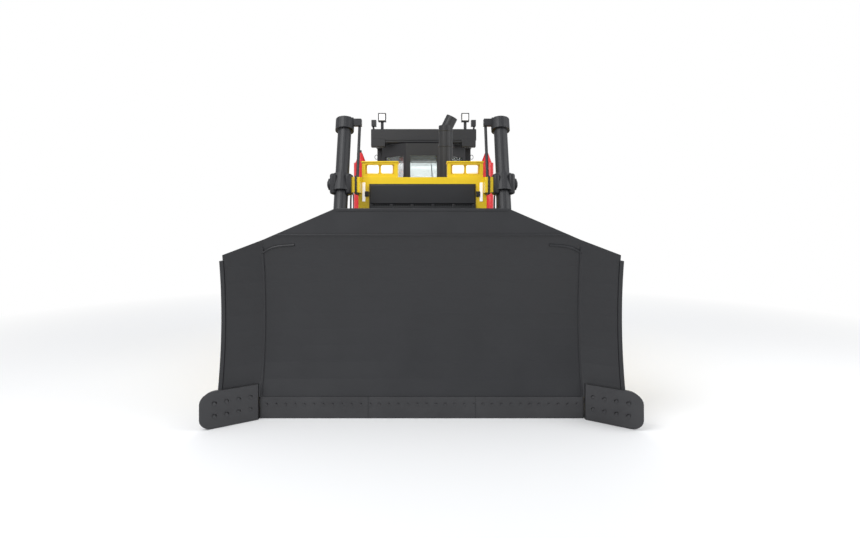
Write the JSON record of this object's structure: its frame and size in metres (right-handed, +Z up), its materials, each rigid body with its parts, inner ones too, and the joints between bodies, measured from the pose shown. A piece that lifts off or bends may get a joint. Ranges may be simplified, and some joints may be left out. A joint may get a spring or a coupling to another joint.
{
  "type": "crawler bulldozer",
  "caption": "Large crawler bulldozer with a semi-U blade on push arms, tall lift cylinders, a canopied cab and a rear ripper.",
  "frame": {"origin": "on the ground, under the middle of the machine's whole length and width", "axes": "+Z up, the blade faces -Y, +X is the machine's left"},
  "size_m": [5.2, 9.3238, 4.71],
  "materials": {
    "yellow": "gloss paint",
    "black": "satin paint",
    "steel": "worn steel",
    "chrome": "polished",
    "red": "gloss paint",
    "seat": "vinyl"
  },
  "bodies": {
    "chassis": {"main_frame": "yellow", "equalizer_bar": "steel", "radiator_guard": "yellow", "grille_door": "black", "radiator": "black", "hood": "yellow", "engine": "steel", "exhaust_stack": "black", "cab_floor": "black", "cab": "black", "seat": "seat", "rops": "black", "ripper_bracket": "yellow", "track_right": "steel", "idler_right": "steel", "sprocket_right": "steel", "track_frame_right": "yellow", "pivot_shaft_right": "steel", "final_drive_right": "yellow", "headlamp_box_right": "yellow", "fender_right": "yellow", "fire_bottle_right": "red", "work_lamp_right": "black", "track_left": "steel", "idler_left": "steel", "sprocket_left": "steel", "track_frame_left": "yellow", "pivot_shaft_left": "steel", "final_drive_left": "yellow", "headlamp_box_left": "yellow", "fender_left": "yellow", "fire_bottle_left": "red", "work_lamp_left": "black"},
    "blade_assembly": {"blade": "black", "spill_guard": "black", "cutting_edge": "steel", "end_bit_right": "steel", "push_arm_right": "yellow", "end_bit_left": "steel", "push_arm_left": "yellow"},
    "ripper": {"ripper_frame": "yellow", "ripper_shank": "steel"},
    "lift_barrel_right": {"lift_barrel_right": "black"},
    "lift_rod_right": {"lift_rod_right": "chrome"},
    "cab_door_right": {"cab_door_right": "black"},
    "lift_barrel_left": {"lift_barrel_left": "black"},
    "lift_rod_left": {"lift_rod_left": "chrome"},
    "cab_door_left": {"cab_door_left": "black"},
    "engine_door_front_right": {"engine_door_front_right": "yellow"},
    "engine_door_rear_right": {"engine_door_rear_right": "yellow"},
    "engine_door_front_left": {"engine_door_front_left": "yellow"},
    "engine_door_rear_left": {"engine_door_rear_left": "yellow"}
  },
  "joints": [
    {"name": "blade_lift", "type": "hinge", "parent": "chassis", "child": "blade_assembly", "pos_m": [0, 0.3, 0.74], "axis": [-1, 0, 0], "range_deg": [-8, 15]},
    {"name": "ripper_lift", "type": "hinge", "parent": "chassis", "child": "ripper", "pos_m": [0, 2.95, 1.15], "axis": [1, 0, 0], "range_deg": [-12, 25]},
    {"name": "lift_swing_right", "type": "hinge", "parent": "chassis", "child": "lift_barrel_right", "pos_m": [-1.17, -2.95, 3], "axis": [-1, 0, 0], "range_deg": [-4.17, 7.64]},
    {"name": "lift_stroke_right", "type": "slide", "parent": "lift_barrel_right", "child": "lift_rod_right", "axis": [0, -0.3534, -0.9355], "range_m": [-1.022, 0.546]},
    {"name": "cab_door_right", "type": "hinge", "parent": "chassis", "child": "cab_door_right", "pos_m": [-0.875, 1.9797, 3], "axis": [0, 0, -1], "range_deg": [0, 80]},
    {"name": "engine_door_front_right", "type": "hinge", "parent": "chassis", "child": "engine_door_front_right", "pos_m": [-0.95, -2.2994, 2.4], "axis": [0, 0, 1], "range_deg": [0, 80]},
    {"name": "engine_door_rear_right", "type": "hinge", "parent": "chassis", "child": "engine_door_rear_right", "pos_m": [-0.95, 0.2997, 2.4], "axis": [0, 0, -1], "range_deg": [0, 80]},
    {"name": "lift_swing_left", "type": "hinge", "parent": "chassis", "child": "lift_barrel_left", "pos_m": [1.17, -2.95, 3], "axis": [-1, 0, 0], "range_deg": [-4.17, 7.64]},
    {"name": "lift_stroke_left", "type": "slide", "parent": "lift_barrel_left", "child": "lift_rod_left", "axis": [0, -0.3534, -0.9355], "range_m": [-1.022, 0.546]},
    {"name": "cab_door_left", "type": "hinge", "parent": "chassis", "child": "cab_door_left", "pos_m": [0.875, 1.9797, 3], "axis": [0, 0, 1], "range_deg": [0, 80]},
    {"name": "engine_door_front_left", "type": "hinge", "parent": "chassis", "child": "engine_door_front_left", "pos_m": [0.95, -2.2994, 2.4], "axis": [0, 0, -1], "range_deg": [0, 80]},
    {"name": "engine_door_rear_left", "type": "hinge", "parent": "chassis", "child": "engine_door_rear_left", "pos_m": [0.95, 0.2997, 2.4], "axis": [0, 0, 1], "range_deg": [0, 80]}
  ],
  "couplings": [
    {"joint": "lift_swing_right", "follows": "blade_lift", "ratio": 0.49611},
    {"joint": "lift_stroke_right", "follows": "blade_lift", "m_per_rad": -3.8909},
    {"joint": "lift_swing_left", "follows": "blade_lift", "ratio": 0.49611},
    {"joint": "lift_stroke_left", "follows": "blade_lift", "m_per_rad": -3.8909}
  ]
}
